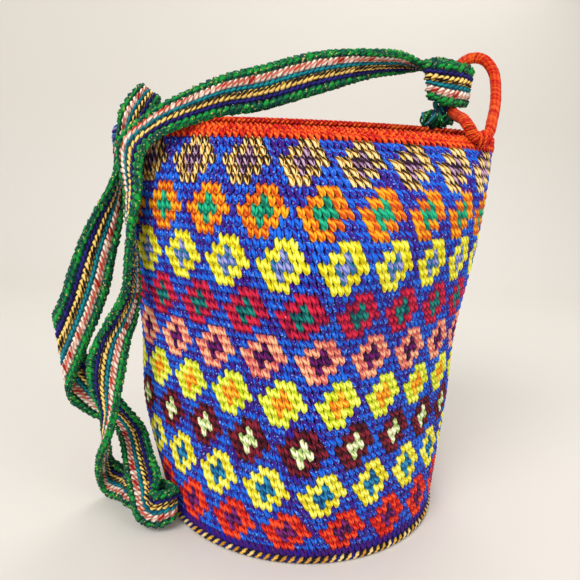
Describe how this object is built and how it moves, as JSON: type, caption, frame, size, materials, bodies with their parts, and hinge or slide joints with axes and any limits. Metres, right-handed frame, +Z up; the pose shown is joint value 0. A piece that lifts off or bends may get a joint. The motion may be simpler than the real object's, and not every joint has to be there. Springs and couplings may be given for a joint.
{
  "type": "crocheted bucket bag",
  "caption": "Soft bucket bag crocheted in the round with flower bands, a round base, a thick rim, two cord loops and a long striped band strap passed through them.",
  "frame": {"origin": "centre of the round base, on the floor", "axes": "+Z up, front of the bag towards -Y, the right loop towards +X"},
  "size_m": [0.3044, 0.2444, 0.3408],
  "materials": {
    "bag_body": "matte yarn",
    "rim": "matte yarn",
    "base_edging": "matte yarn",
    "flowers_1": "matte yarn",
    "flowers_2": "matte yarn",
    "flowers_3": "matte yarn",
    "flowers_4": "matte yarn",
    "flowers_5": "matte yarn",
    "flowers_6": "matte yarn",
    "flowers_7": "matte yarn",
    "flowers_8": "matte yarn",
    "flowers_9": "matte yarn",
    "loop_right": "matte yarn",
    "loop_left": "matte yarn",
    "strap": "matte yarn",
    "strap_lashing_right": "matte yarn",
    "strap_lashing_left": "matte yarn"
  },
  "bodies": {
    "root": {"bag_body": "bag_body", "rim": "rim", "base_edging": "base_edging", "flowers_1": "flowers_1", "flowers_2": "flowers_2", "flowers_3": "flowers_3", "flowers_4": "flowers_4", "flowers_5": "flowers_5", "flowers_6": "flowers_6", "flowers_7": "flowers_7", "flowers_8": "flowers_8", "flowers_9": "flowers_9", "loop_right": "loop_right", "loop_left": "loop_left", "strap": "strap", "strap_lashing_right": "strap_lashing_right", "strap_lashing_left": "strap_lashing_left"}
  },
  "joints": []
}
